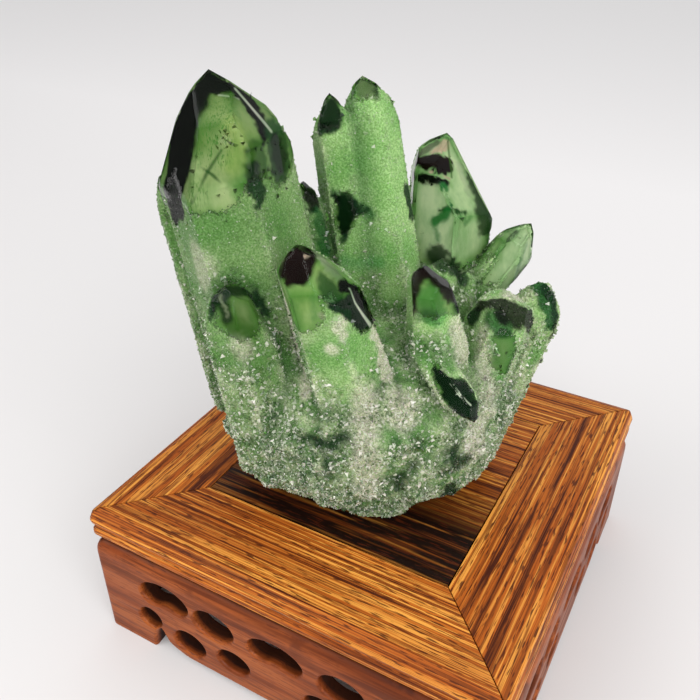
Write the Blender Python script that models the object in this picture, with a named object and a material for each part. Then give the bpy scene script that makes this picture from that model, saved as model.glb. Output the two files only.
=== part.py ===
"""A green phantom quartz cluster resting on a square, carved wooden display stand.

The cluster grew as one piece: tapering six-sided crystals with pointed crowns spring from a knobbly,
drusy foot.  The stand is joined from a flush top panel, four mitred frame members with a moulded edge,
and four pierced apron boards that end in feet.

Metres, +Z up.  The origin is on the floor under the middle of the stand, and the side towards -Y is the front.
"""

import math
import random

import bmesh
import bpy
from mathutils import Matrix, Vector, noise

# Stand: outer sizes
STAND_SIDE = 0.120
STAND_HEIGHT = 0.0455
JOINT_GAP = 0.0003
CORNER_RADIUS = 0.0022
CORNER_STEPS = 3

# Stand: top panel and the frame around it
PANEL_SIDE = 0.0723
PANEL_THICKNESS = 0.0060
SHADOW_GAP = 0.0004
FRAME_THICKNESS = 0.0108
LEDGE_WIDTH = 0.0045
FLAT_INSET = 0.0030
LIP_DEPTH = 0.0056
LIP_BULGE_DEPTH = 0.0032
GROOVE_INSET = 0.0013
BEAD_INSET = 0.0003
BEAD_BULGE_DEPTH = 0.0082
NECK_INSET = 0.0024

# Stand: apron boards
APRON_THICKNESS = 0.0050
SHOULDER_DROP = 0.0042
EDGE_LIFT = 0.0025

# Cluster
CLUSTER_TURN = math.radians(29.2)
REST_GAP = 0.0003
FOOT_CENTRE = Vector((-0.0045, -0.0020, 0.0240))
FOOT_RADII = Vector((0.0375, 0.0305, 0.0250))
FOOT_SQUARENESS = 3.5
SHOULDER_SQUARENESS = 2.4
FOOT_RELIEF = 0.0020
SPROUT_COUNT = 110
SPROUT_RADIUS = (0.0018, 0.0036)
SEED = 11
MM = 0.001

WOOD_TOP = (0.36, 0.15, 0.055, 1.0)
WOOD_APRON = (0.25, 0.09, 0.045, 1.0)
QUARTZ_GREEN = (0.20, 0.42, 0.16, 1.0)


def clear_scene():
    """Remove what the file opened with."""
    for old in list(bpy.data.objects):
        bpy.data.objects.remove(old, do_unlink=True)


def make_material(name, colour, roughness, transmission=0.0):
    """A Principled BSDF with the part's own colour and gloss."""
    material = bpy.data.materials.new(name)
    material.use_nodes = True
    shader = material.node_tree.nodes["Principled BSDF"]
    shader.inputs["Base Color"].default_value = colour
    shader.inputs["Roughness"].default_value = roughness
    shader.inputs["Metallic"].default_value = 0.0
    shader.inputs["Transmission Weight"].default_value = transmission
    material.diffuse_color = colour
    return material


def add_object(name, bm, material):
    """Turn an edited mesh into a named object."""
    bmesh.ops.recalc_face_normals(bm, faces=bm.faces[:])
    mesh = bpy.data.meshes.new(name)
    bm.to_mesh(mesh)
    bm.free()
    mesh.materials.append(material)
    made = bpy.data.objects.new(name, mesh)
    bpy.context.scene.collection.objects.link(made)
    return made


def as_cutter(cutter):
    """Keep a cutting shape out of renders and show it as wire."""
    cutter.hide_render = True
    cutter.display_type = "WIRE"
    return cutter


def saw(bm, point, normal):
    """Saw off what lies beyond a plane and close the sawn face."""
    bmesh.ops.bisect_plane(bm, geom=bm.verts[:] + bm.edges[:] + bm.faces[:], dist=1e-7,
                           plane_co=point, plane_no=normal, clear_outer=True)
    rims = [edge for edge in bm.edges if edge.is_boundary]
    if rims:
        bmesh.ops.holes_fill(bm, edges=rims, sides=0)


# Stand

def rounded_square(half, radius):
    """Points of a square with rounded corners, anticlockwise, starting at the corner towards +X +Y."""
    centre = half - radius
    points = []
    for quarter in range(4):
        turn = Matrix.Rotation(quarter * math.pi / 2, 2)
        for step in range(CORNER_STEPS + 1):
            angle = step * math.pi / 2 / CORNER_STEPS
            corner = Vector((centre + radius * math.cos(angle), centre + radius * math.sin(angle)))
            points.append(turn @ corner)
    return points


def moulded_ring(profile):
    """A closed ring around the stand: the profile is a loop of (half side, height) pairs."""
    bm = bmesh.new()
    loops = []
    for half, height in profile:
        radius = max(CORNER_RADIUS - (STAND_SIDE / 2 - half), 0.2 * CORNER_RADIUS)
        loops.append([bm.verts.new((x, y, height)) for x, y in rounded_square(half, radius)])
    count = len(loops[0])
    for lower, upper in zip(loops, loops[1:] + loops[:1]):
        for k in range(count):
            following = (k + 1) % count
            bm.faces.new((lower[k], lower[following], upper[following], upper[k]))
    return bm


def mitred_side(profile):
    """The front quarter of a moulded ring, sawn at 45 degrees with half a joint gap at each end."""
    bm = moulded_ring(profile)
    for side in (-1, 1):
        outward = Vector((side, 1, 0)).normalized()
        saw(bm, -outward * JOINT_GAP / 2, outward)
    return bm


def frame_profile():
    """Outline of a frame member: flat top, rounded lip, small bead, and the ledge that carries the panel."""
    outer = STAND_SIDE / 2
    top = STAND_HEIGHT
    bottom = top - FRAME_THICKNESS
    opening = PANEL_SIDE / 2
    ledge = top - PANEL_THICKNESS - JOINT_GAP
    return [
        (opening, top),
        (outer - FLAT_INSET, top),
        (outer - 0.35 * FLAT_INSET, top - 0.25 * LIP_BULGE_DEPTH),
        (outer, top - LIP_BULGE_DEPTH),
        (outer - 0.2 * GROOVE_INSET, top - 0.75 * LIP_DEPTH),
        (outer - GROOVE_INSET, top - LIP_DEPTH),
        (outer - BEAD_INSET, top - 0.5 * (LIP_DEPTH + BEAD_BULGE_DEPTH)),
        (outer - BEAD_INSET, top - BEAD_BULGE_DEPTH),
        (outer - NECK_INSET, bottom),
        (opening - LEDGE_WIDTH, bottom),
        (opening - LEDGE_WIDTH, ledge),
        (opening, ledge),
    ]


def apron_profile():
    """Outline of an apron board: straight, with a rounded shoulder under the frame."""
    outer = STAND_SIDE / 2
    top = STAND_HEIGHT - FRAME_THICKNESS - JOINT_GAP
    return [
        (outer, 0.0),
        (outer, top - SHOULDER_DROP),
        (outer - 0.3 * NECK_INSET, top - 0.4 * SHOULDER_DROP),
        (outer - NECK_INSET, top),
        (outer - APRON_THICKNESS, top),
        (outer - APRON_THICKNESS, 0.0),
    ]


def bean(x, z, half_width, half_height, dent=0.0, tilt=0.0, steps=12):
    """An oval opening; a dent lifts the middle of its lower edge, as in a cloud scroll."""
    points = []
    for step in range(steps):
        angle = 2 * math.pi * step / steps
        across = half_width * math.cos(angle)
        up = half_height * math.sin(angle)
        if up < 0:
            up += dent * math.exp(-(across / (0.45 * half_width)) ** 2)
        points.append((x + across * math.cos(tilt) - up * math.sin(tilt),
                       z + across * math.sin(tilt) + up * math.cos(tilt)))
    return points


def lower_edge_outline():
    """The sweep under an apron board: a notch beside each foot and a shallow lift between the feet."""
    below = -0.003
    half = [(0.0424, below), (0.0421, 0.0030), (0.0408, 0.0070), (0.0386, 0.0096), (0.0370, 0.0080),
            (0.0360, 0.0052), (0.0326, 0.0034), (0.0290, EDGE_LIFT)]
    return half + [(-x, z) for x, z in reversed(half)]


def carving_outlines():
    """Every opening of one apron board, as outlines in the board's own plane."""
    outlines = [lower_edge_outline(), bean(0.0, 0.0226, 0.0083, 0.0050, dent=0.0022, steps=16)]
    for side in (-1, 1):
        outlines += [
            bean(side * 0.0362, 0.0232, 0.0083, 0.0052, dent=0.0022, tilt=-side * 0.05, steps=16),
            bean(side * 0.0196, 0.0222, 0.0066, 0.0050),
            bean(side * 0.0426, 0.0120, 0.0040, 0.0037, tilt=-side * 0.5),
            bean(side * 0.0289, 0.0092, 0.0053, 0.0045),
            bean(side * 0.0138, 0.0112, 0.0052, 0.0040),
        ]
    return outlines


def carving_cutter():
    """All the openings of the front apron board, each driven through the board's thickness."""
    bm = bmesh.new()
    front = -STAND_SIDE / 2 - 0.002
    back = -STAND_SIDE / 2 + APRON_THICKNESS + 0.002
    for outline in carving_outlines():
        near = [bm.verts.new((x, front, z)) for x, z in outline]
        far = [bm.verts.new((x, back, z)) for x, z in outline]
        bm.faces.new(near)
        bm.faces.new(list(reversed(far)))
        for k in range(len(outline)):
            following = (k + 1) % len(outline)
            bm.faces.new((near[k], far[k], far[following], near[following]))
    return bm


def build_panel(wood):
    """The square board that lies on the frame's ledge, flush with its top."""
    bm = bmesh.new()
    side = PANEL_SIDE - 2 * SHADOW_GAP
    centre = Vector((0, 0, STAND_HEIGHT - PANEL_THICKNESS / 2))
    bmesh.ops.create_cube(bm, size=1.0, matrix=Matrix.Translation(centre)
                          @ Matrix.Diagonal((side, side, PANEL_THICKNESS, 1)))
    add_object("stand_panel", bm, wood)


def build_stand():
    """Panel, four frame members and four pierced apron boards, named for the side they stand on."""
    top_wood = make_material("striped_wood_top", WOOD_TOP, 0.45)
    apron_wood = make_material("carved_wood_apron", WOOD_APRON, 0.4)
    build_panel(top_wood)
    for quarter, side in enumerate(("front", "right", "back", "left")):
        turn = quarter * math.pi / 2
        member = add_object("frame_" + side, mitred_side(frame_profile()), top_wood)
        member.rotation_euler.z = turn
        board = add_object("apron_" + side, mitred_side(apron_profile()), apron_wood)
        board.rotation_euler.z = turn
        cutter = as_cutter(add_object("carving_" + side, carving_cutter(), apron_wood))
        cutter.rotation_euler.z = turn
        carving = board.modifiers.new("Carving", "BOOLEAN")
        carving.operation = "DIFFERENCE"
        carving.solver = "EXACT"
        carving.object = cutter


# Cluster.  Its own axes: +X sideways, +Y back, +Z up from the panel; it is turned on the stand.

def facing(azimuth, rise):
    """A unit vector that looks out sideways at an azimuth and rises by an angle, both in degrees."""
    around = math.radians(azimuth)
    up = math.radians(rise)
    return Vector((math.cos(around) * math.cos(up), math.sin(around) * math.cos(up), math.sin(up)))


def crystal(foot, tip, radius, turn=0.0, lean=(0.0, 0.0), flare=1.5, slope=43.0, bevels=None, seed=0):
    """One quartz crystal: a six-sided prism that widens towards its foot, under a crown of uneven faces.

    The radius is measured at the shoulder, and lean moves the point off the axis in radii.  Flare is the
    taper of the sides and slope the angle between the crown's faces and the axis, in degrees.  Bevels are
    the six steeper faces under the crown: how far below the point each starts, in radii, and its angle.
    """
    dice = random.Random(seed)
    length = (tip - foot).length
    inner = radius * math.cos(math.pi / 6)
    bm = bmesh.new()
    block = Matrix.Translation((0, 0, length)) @ Matrix.Diagonal((6 * radius, 6 * radius, 2 * length, 1))
    bmesh.ops.create_cube(bm, size=1.0, matrix=block)
    shoulder = Vector((0, 0, length - 1.4 * radius))
    peak = Vector((lean[0] * radius, lean[1] * radius, length))
    for k in range(6):
        azimuth = turn + 60 * k
        side = facing(azimuth, flare)
        saw(bm, shoulder + facing(azimuth, 0) * inner * dice.uniform(0.94, 1.04), side)
        start, steep = bevels[k] if bevels else (dice.uniform(0.45, 0.8), dice.uniform(15, 25))
        start *= radius
        saw(bm, peak + facing(azimuth, 0) * start - Vector((0, 0, start)), facing(azimuth, steep))
        lift = radius * ((k - 2) * 0.02 if k % 2 == 0 else 0.08 + 0.03 * k)
        saw(bm, peak + Vector((0, 0, lift)), facing(azimuth, slope + dice.uniform(-4, 4)))
    stand_up = Vector((0, 0, 1)).rotation_difference(tip - foot).to_matrix().to_4x4()
    bmesh.ops.transform(bm, matrix=Matrix.Translation(foot) @ stand_up, verts=bm.verts[:])
    return bm


# Bevels of the crystals whose crowns show best, for the faces from back right round by the left to front right
TALL_BEVELS = ((0.45, 25), (0.6, 20), (0.5, 28), (0.5, 26), (0.62, 20), (0.45, 28))
CLEAR_BEVELS = ((0.05, 30), (0.6, 25), (0.6, 20), (0.7, 14), (0.75, 24), (0.05, 30))
FRONT_BEVELS = ((0.45, 33), (0.5, 28), (0.7, 16), (0.72, 14), (0.6, 28), (0.45, 33))
RIDGE_BEVELS = ((0.9, 20), (0.8, 20), (0.8, 14), (0.9, 10), (0.8, 22), (0.9, 20))

# Each crystal: foot and point in millimetres from the middle of the panel, radius, and crown.
CRYSTALS = {
    # back row, left to right
    "tall_left": ((-26.5, -2.6, 16), (-41.5, -7, 111), 16.5,
                  dict(turn=33, lean=(0.14, 0), flare=1.2, bevels=TALL_BEVELS)),
    "sliver": ((-42, 2, 18), (-55, 7, 84), 5.8, dict(turn=20)),
    "twin_left": ((-1, 8, 10), (-14.5, 6, 103), 6.6, dict(turn=25, slope=34)),
    "twin_right": ((8, 5, 8), (-6.8, 10, 106), 7.7, dict(turn=25)),
    "between": ((-14, 8, 20), (-21.5, 3, 83), 5.0, dict(turn=0)),
    "clear_back": ((15, 13, 14), (17.5, 25, 88), 12.8,
                   dict(turn=2, lean=(-0.12, 0), flare=0.5, slope=50, bevels=CLEAR_BEVELS)),
    "right_small": ((11, 6, 30), (37, 10, 69), 5.8, dict(turn=12, flare=0.5, slope=38)),
    "right_edge": ((24, -1, 4), (42, 3, 56), 7.8, dict(turn=0, slope=50)),
    "right_back": ((14, 8, 15), (28, 12, 60), 8.0, dict(turn=30)),
    "dark_saddle": ((10, 2, 20), (14, 5, 62), 6.0, dict(turn=10)),
    "dark_saddle_right": ((14, 2, 20), (21, 6, 58), 5.5, dict(turn=40)),
    # front row, left to right
    "front_left": ((-31, -13.5, 12), (-37, -24, 69), 8.8, dict(turn=10, slope=48)),
    "front_middle": ((-1, -15, 3), (-19.5, -26, 80), 9.4,
                     dict(turn=20, lean=(-0.2, 0), flare=4, bevels=FRONT_BEVELS)),
    "front_right": ((13, -10, 6), (10, -20, 72), 8.2, dict(turn=10, lean=(-0.42, 0), slope=46)),
    "right_ridge": ((17, -6, 6), (29.5, -9, 59), 9.2, dict(turn=30, slope=64, bevels=RIDGE_BEVELS)),
    "lozenge": ((7, -18, 51), (19.5, -33, 37.5), 5.0, dict(turn=10, flare=0, slope=40)),
    "corner": ((8, -8, 12), (18, -25, 7), 5.0, dict(turn=35)),
    "left_low": ((-18, -6, 10), (-43, -18, 27), 5.5, dict(turn=10)),
    "front_low": ((-8, -12, 20), (-18, -34, 24), 6.0, dict(turn=5)),
    "front_low_right": ((4, -12, 24), (3, -34, 32), 6.5, dict(turn=25)),
    # far side, leaning back
    "back_left": ((-18, 8, 8), (-34, 26, 72), 10.0, dict(turn=18)),
    "back_middle": ((-4, 12, 8), (-8, 32, 66), 9.0, dict(turn=3)),
    "back_right": ((12, 12, 10), (28, 30, 50), 8.0, dict(turn=26)),
    "back_low": ((2, 10, 10), (10, 40, 38), 7.0, dict(turn=11)),
    "back_low_left": ((-14, 8, 10), (-30, 32, 36), 7.0, dict(turn=33)),
    "side_left": ((-20, 2, 10), (-48, 8, 40), 6.5, dict(turn=21)),
}


def on_foot(direction):
    """The point of the foot's rough surface that lies in a direction from its centre."""
    x, y, z = direction.normalized()
    flat = math.hypot(x, y)
    squareness = FOOT_SQUARENESS if z < 0 else SHOULDER_SQUARENESS
    if flat > 1e-6:
        fuller = (1 - abs(z) ** squareness) ** (1 / squareness)
        x *= fuller / flat
        y *= fuller / flat
    place = Vector((x * FOOT_RADII.x, y * FOOT_RADII.y, z * FOOT_RADII.z))
    rough = noise.noise(place * 90) + 0.6 * noise.noise(place * 210)
    return FOOT_CENTRE + place * (1 + FOOT_RELIEF * rough / place.length)


def knobbly_foot():
    """The lump that every crystal grows from: fuller than an ellipsoid, rough, and flat where it rests."""
    bm = bmesh.new()
    bmesh.ops.create_icosphere(bm, subdivisions=4, radius=1.0)
    for vertex in bm.verts:
        vertex.co = on_foot(vertex.co)
    saw(bm, Vector((0, 0, REST_GAP)), Vector((0, 0, -1)))
    return bm


def sprout(foot, direction, radius, length, spin):
    """A small pointed crystal that stands out of the foot's surface."""
    bm = bmesh.new()
    rings = []
    for height, width in ((0.0, 1.0), (0.65 * length, 0.95)):
        rings.append([bm.verts.new((radius * width * math.cos(spin + k * math.pi / 3),
                                    radius * width * math.sin(spin + k * math.pi / 3), height))
                      for k in range(6)])
    point = bm.verts.new((0.25 * radius, -0.2 * radius, length))
    bm.faces.new(list(reversed(rings[0])))
    for k in range(6):
        following = (k + 1) % 6
        bm.faces.new((rings[0][k], rings[0][following], rings[1][following], rings[1][k]))
        bm.faces.new((rings[1][k], rings[1][following], point))
    aim = Vector((0, 0, 1)).rotation_difference(direction).to_matrix().to_4x4()
    bmesh.ops.transform(bm, matrix=Matrix.Translation(foot) @ aim, verts=bm.verts[:])
    return bm


def sprouts():
    """Small crystals all over the foot, pointing outwards every way and half sunk in it."""
    dice = random.Random(SEED)
    made = []
    while len(made) < SPROUT_COUNT:
        azimuth = dice.uniform(0, 360)
        rise = dice.uniform(-42, 45)
        surface = on_foot(facing(azimuth, rise))
        radius = dice.uniform(*SPROUT_RADIUS)
        length = radius * 2.4
        direction = facing(azimuth + dice.uniform(-40, 40), rise * 0.5 + dice.uniform(-20, 50))
        foot = surface - direction * length * 0.62
        if (foot + direction * length).z < radius or foot.z < 1.2 * radius:
            continue
        made.append(sprout(foot, direction, radius, length, dice.uniform(0, 1)))
    return made


def build_cluster():
    """Foot, crystals and sprouts joined into the one solid that they grew as."""
    quartz = make_material("green_quartz", QUARTZ_GREEN, 0.25, transmission=0.6)
    place = Matrix.Translation((0, 0, STAND_HEIGHT)) @ Matrix.Rotation(CLUSTER_TURN, 4, "Z")
    cluster = add_object("quartz_cluster", knobbly_foot(), quartz)
    cluster.matrix_world = place
    pieces = {}
    for number, (name, (foot, tip, radius, crown)) in enumerate(CRYSTALS.items()):
        pieces[name] = crystal(Vector(foot) * MM, Vector(tip) * MM, radius * MM, seed=SEED + number, **crown)
    for number, bm in enumerate(sprouts()):
        pieces["sprout_%03d" % number] = bm
    grown = bpy.data.collections.new("crystals")
    bpy.context.scene.collection.children.link(grown)
    for name, bm in pieces.items():
        saw(bm, Vector((0, 0, 2 * REST_GAP)), Vector((0, 0, -1)))
        piece = as_cutter(add_object(name, bm, quartz))
        bpy.context.scene.collection.objects.unlink(piece)
        grown.objects.link(piece)
        piece.matrix_world = place
    joining = cluster.modifiers.new("Grown together", "BOOLEAN")
    joining.operation = "UNION"
    joining.solver = "EXACT"
    joining.operand_type = "COLLECTION"
    joining.collection = grown


clear_scene()
build_stand()
build_cluster()
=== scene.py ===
"""A green phantom quartz cluster on its carved wooden stand, dressed for a studio photograph."""

import math
from contextlib import contextmanager

import bmesh
import bpy
import numpy as np
from mathutils import Matrix, Vector
from mathutils.kdtree import KDTree


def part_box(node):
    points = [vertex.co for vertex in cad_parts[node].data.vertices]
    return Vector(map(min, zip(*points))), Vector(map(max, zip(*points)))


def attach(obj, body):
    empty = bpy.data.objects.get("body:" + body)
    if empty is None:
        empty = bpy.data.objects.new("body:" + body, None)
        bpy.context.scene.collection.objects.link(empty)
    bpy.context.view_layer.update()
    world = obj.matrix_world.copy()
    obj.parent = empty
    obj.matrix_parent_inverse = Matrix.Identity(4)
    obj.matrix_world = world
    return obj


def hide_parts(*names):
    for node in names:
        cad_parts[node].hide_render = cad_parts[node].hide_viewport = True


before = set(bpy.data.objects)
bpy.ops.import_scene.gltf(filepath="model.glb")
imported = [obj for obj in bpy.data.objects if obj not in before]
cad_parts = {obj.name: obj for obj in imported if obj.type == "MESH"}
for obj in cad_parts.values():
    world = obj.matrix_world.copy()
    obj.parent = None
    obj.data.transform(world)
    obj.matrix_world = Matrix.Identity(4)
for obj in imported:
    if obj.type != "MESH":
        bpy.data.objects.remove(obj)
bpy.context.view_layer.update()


# Stand panel: a square board of dark striped hardwood laid flush inside the frame.  The grain runs from
# left to right, and a streak of nearly black heartwood crosses its front, deepened by the painted shadow
# that the crystals cast there.  Planed, oiled and waxed.

def lay_stops(elements, stops):
    """Lay colours at their places along a ramp."""
    while len(elements) < len(stops):
        elements.new(0.5)
    for element, (position, colour) in zip(elements, stops):
        element.position = position
        element.color = (*colour, 1)


class Finish:
    """A Principled material and the few ways in which its patterns are joined."""

    def __init__(self, name):
        self.material = bpy.data.materials.new(name)
        self.material.use_nodes = True
        self.nodes = self.material.node_tree.nodes
        self.links = self.material.node_tree.links
        self.shader = self.nodes["Principled BSDF"]
        self.place = self.nodes.new("ShaderNodeTexCoord").outputs["Object"]

    def feed(self, socket, value):
        """Set a socket to a number or colour, or join an output to it."""
        if isinstance(value, (int, float)):
            socket.default_value = value
        elif isinstance(value, tuple):
            socket.default_value = (*value, 1) if len(socket.default_value) == 4 else value
        else:
            self.links.new(value, socket)

    def set(self, **values):
        """Values or outputs for the shader's own sockets, with _ for a space in their names."""
        for name, value in values.items():
            self.feed(self.shader.inputs[name.replace("_", " ")], value)

    def noise(self, sizes, detail=2.0, roughness=0.5, distortion=0.0):
        """Noise whose blotches measure so many metres, the same each way or one size along each axis."""
        sizes = sizes if isinstance(sizes, tuple) else (sizes,) * 3
        mapping = self.nodes.new("ShaderNodeMapping")
        mapping.inputs["Scale"].default_value = [1 / size for size in sizes]
        self.feed(mapping.inputs["Vector"], self.place)
        made = self.nodes.new("ShaderNodeTexNoise")
        for name, value in (("Scale", 1.0), ("Detail", detail), ("Roughness", roughness),
                            ("Distortion", distortion)):
            made.inputs[name].default_value = value
        self.feed(made.inputs["Vector"], mapping.outputs["Vector"])
        return made.outputs["Fac"]

    def ranged(self, value, low, high, start=0.0, end=1.0):
        """One range of a value mapped on to another."""
        made = self.nodes.new("ShaderNodeMapRange")
        self.feed(made.inputs["Value"], value)
        for name, number in zip(("From Min", "From Max", "To Min", "To Max"), (low, high, start, end)):
            made.inputs[name].default_value = number
        return made.outputs["Result"]

    def maths(self, operation, *values):
        """One step of arithmetic on values, such as ADD or MULTIPLY."""
        made = self.nodes.new("ShaderNodeMath")
        made.operation = operation
        for socket, value in zip(made.inputs, values):
            self.feed(socket, value)
        return made.outputs[0]

    def axis(self, name):
        """The place along X, Y or Z, in metres."""
        made = self.nodes.new("ShaderNodeSeparateXYZ")
        self.feed(made.inputs[0], self.place)
        return made.outputs[name]

    def ramp(self, value, stops):
        """Colours laid along a value."""
        made = self.nodes.new("ShaderNodeValToRGB")
        lay_stops(made.color_ramp.elements, stops)
        self.feed(made.inputs["Fac"], value)
        return made.outputs["Color"]

    def mix(self, factor, first, second, kind="MIX"):
        """Two colours mixed by a factor."""
        made = self.nodes.new("ShaderNodeMix")
        made.data_type = "RGBA"
        made.blend_type = kind
        # The node's other sockets are for numbers and vectors
        for socket, value in ((0, factor), (6, first), (7, second)):
            self.feed(made.inputs[socket], value)
        return made.outputs[2]

    def times(self, first, second, factor=1.0):
        """One colour darkened or lightened by another."""
        return self.mix(factor, first, second, "MULTIPLY")

    def kept(self, name, colour=False):
        """A value or colour that was stored on the vertices."""
        made = self.nodes.new("ShaderNodeAttribute")
        made.attribute_name = name
        return made.outputs["Color" if colour else "Fac"]

    def bump(self, height, depth, strength):
        """Relief by shading alone, for what is finer than the mesh."""
        made = self.nodes.new("ShaderNodeBump")
        made.inputs["Strength"].default_value = strength
        made.inputs["Distance"].default_value = depth
        self.feed(made.inputs["Height"], height)
        self.feed(self.shader.inputs["Normal"], made.outputs["Normal"])


# Pale, brown and dark stripes of the top, its black heartwood with the crystals' painted shadow, and the
# painted shade inside the aprons, which starts just behind the face
TOP_WOOD = ((0.80, 0.345, 0.058), (0.48, 0.125, 0.013), (0.060, 0.011, 0.003))
HEARTWOOD_AND_SHADOW = (0.008, 0.0025, 0.0015)
APRON_INSIDE_SHADE = (0.010, 0.004, 0.003)
INSIDE_SHADE_FROM = 0.0592
INSIDE_SHADE_FULL = 0.0576


def striped_wood(name, along, stripe, colours, heart_and_shadow=None, shaded_and_blotched=False):
    """Satin hardwood: stripes along one axis crossed by finer dark lines, pores and broad shading."""
    pale, brown, dark = colours
    line_brown = tuple(0.35 * b + 0.65 * d for b, d in zip(brown, dark))
    finish = Finish(name)

    def grain(long, wide):
        return (long, wide, wide) if along == "X" else (wide, long, wide)

    stripes = finish.noise(grain(0.11, stripe), 3.0, 0.65, 0.3)
    wood = finish.ramp(stripes, ((0.38, dark), (0.455, brown), (0.50, brown), (0.57, pale)))
    lines = finish.ranged(finish.noise(grain(0.035, stripe * 0.36), 2.0, 0.6), 0.49, 0.60, 0.0, 0.85)
    wood = finish.mix(lines, wood, line_brown)
    broad = finish.ranged(finish.noise(grain(0.055, 0.012), 2.0), 0.38, 0.66, 0.0, 0.6)
    wood = finish.mix(broad, wood, finish.times(wood, (0.55, 0.36, 0.28)))
    # Heartwood and painted shadow: the front of the panel under the crystals darkens to nearly black in
    # streaks
    if heart_and_shadow:
        inside = finish.ranged(finish.axis("Y"), *heart_and_shadow, 1.0, 0.0)
        streaks = finish.ranged(finish.noise(grain(0.040, 0.0020), 2.0, 0.6, 0.3), 0.50, 0.62, 1.0, 0.66)
        wood = finish.mix(finish.maths("MULTIPLY", inside, streaks), wood, HEARTWOOD_AND_SHADOW)
    pores = finish.ranged(finish.noise(grain(0.0045, 0.0004), 1.0), 0.58, 0.66, 0.0, 0.85)
    wood = finish.mix(pores, wood, dark)
    if shaded_and_blotched:
        # Painted shade darkens the openings and the inner side from just behind the face, and blotches
        # darken the wood under the frame
        out = finish.maths("ABSOLUTE", finish.axis("Y" if along == "X" else "X"))
        wood = finish.mix(finish.ranged(out, INSIDE_SHADE_FROM, INSIDE_SHADE_FULL, 0.0, 0.93), wood, APRON_INSIDE_SHADE)
        blotches = finish.ranged(finish.noise(0.008, 3.0, 0.6), 0.52, 0.66)
        under = finish.ranged(finish.axis("Z"), 0.026, 0.033)
        wood = finish.mix(finish.maths("MULTIPLY", blotches, under), wood, dark)
    finish.set(Base_Color=wood, Roughness=finish.ranged(stripes, 0.4, 0.6, 0.50, 0.36),
               Specular_IOR_Level=0.15)
    finish.bump(stripes, 0.0004, 0.35)
    return finish.material


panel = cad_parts["stand_panel"]
panel.data.materials.clear()
panel.data.materials.append(striped_wood("striped_wood_panel", "X", 0.0015, TOP_WOOD, heart_and_shadow=(-0.018, 0.006)))


# Frame: four members of the same wood, mitred at the corners, each with its grain along its length.  A
# rounded lip, a fine groove and a bead are planed along the outer edge and eased with sandpaper.

EASED_EDGE = 0.00045
WELD = 0.000002
BOARD_WELD = 0.00001
frame_woods = {
    "front": striped_wood("striped_wood_front", "X", 0.00085, TOP_WOOD),
    "right": striped_wood("striped_wood_right", "Y", 0.0016, TOP_WOOD),
}
frame_woods["back"] = frame_woods["front"]
frame_woods["left"] = frame_woods["right"]


def only(piece):
    """Select one piece alone and make it active."""
    bpy.ops.object.select_all(action="DESELECT")
    bpy.context.view_layer.objects.active = piece
    piece.select_set(True)


@contextmanager
def editing(piece):
    """Edit mode on one piece, with all of it selected."""
    only(piece)
    bpy.ops.object.mode_set(mode="EDIT")
    bpy.ops.mesh.select_all(action="SELECT")
    yield
    bpy.ops.object.mode_set(mode="OBJECT")


def worked(piece, name, kind, **settings):
    """Put a modifier on a piece, set it and apply it."""
    only(piece)
    modifier = piece.modifiers.new(name, kind)
    for setting, value in settings.items():
        setattr(modifier, setting, value)
    bpy.ops.object.modifier_apply(modifier=modifier.name)


def own_copy(piece, name):
    """A copy of a piece with its own mesh and no material."""
    made = bpy.data.objects.new(name, piece.data.copy())
    bpy.context.scene.collection.objects.link(made)
    made.data.materials.clear()
    return made


def cast(node_name, name):
    """A merged copy of a solid of the frame, to work on."""
    made = own_copy(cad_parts[node_name], name)
    with editing(made):
        bpy.ops.mesh.remove_doubles(threshold=WELD)
    return made


def choose(piece, kind, wanted):
    """In edit mode, select the vertices, edges or faces that a test picks out."""
    bpy.ops.mesh.select_mode(type=kind)
    bpy.ops.mesh.select_all(action="DESELECT")
    bm = bmesh.from_edit_mesh(piece.data)
    for element in {"VERT": bm.verts, "EDGE": bm.edges, "FACE": bm.faces}[kind]:
        if wanted(element):
            element.select_set(True)
    bm.select_flush_mode()
    bmesh.update_edit_mesh(piece.data)


def finished(piece, material, node_name=None):
    """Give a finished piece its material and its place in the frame's table."""
    piece.data.materials.clear()
    piece.data.materials.append(material)
    if node_name:
        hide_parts(node_name)
    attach(piece, "root")


def smooth_mouldings(piece, angle):
    """Shade curves round and keep broad faces flat."""
    only(piece)
    bpy.ops.object.shade_smooth_by_angle(angle=math.radians(angle))
    worked(piece, "Even shading", "WEIGHTED_NORMAL", keep_sharp=True)


for side, along in (("front", 0), ("right", 1), ("back", 0), ("left", 1)):
    member = cast("frame_" + side, "moulded_" + side)

    def long_corner(edge):
        """Whether an edge runs the member's length and is sharp enough to be eased."""
        run = (edge.verts[1].co - edge.verts[0].co).normalized()
        return abs(run[along]) > 0.99 and edge.is_manifold and edge.calc_face_angle() > math.radians(12)

    with editing(member):
        bpy.ops.mesh.dissolve_limited(angle_limit=math.radians(1))
        choose(member, "EDGE", long_corner)
        bpy.ops.mesh.bevel(offset=EASED_EDGE, segments=2, clamp_overlap=True)
    smooth_mouldings(member, 50)
    finished(member, frame_woods[side], "frame_" + side)


# Aprons: four thin boards under the frame, one shape four times.  Each is pierced with a scroll of ovals
# and cloud shapes and swept along its lower edge; every opening is rasped round and sanded smooth.

OUTER = 0.060
APRON_TOP = 0.0344
APRON_THICKNESS = 0.0050
SHOULDER_DROP = 0.0042
SHOULDER_INSET = 0.0024
CORNER_RADIUS = 0.0022
HALF_JOINT = 0.00015
RIM = 0.0009
RIM_STEPS = 5
OVERSHOOT = 0.002
# The openings on the right and the middle one: middle, half width, half height, tilt, lift of lower edge
OPENINGS = [
    ((0.0362, 0.0232), 0.0083, 0.0052, -0.05, 0.0022),
    ((0.0196, 0.0222), 0.0066, 0.0050, 0.0, 0.0),
    ((0.0426, 0.0120), 0.0040, 0.0037, -0.5, 0.0),
    ((0.0289, 0.0092), 0.0053, 0.0045, 0.0, 0.0),
    ((0.0138, 0.0112), 0.0052, 0.0040, 0.0, 0.0),
    ((0.0, 0.0226), 0.0083, 0.0050, 0.0, 0.0022),
]
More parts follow.
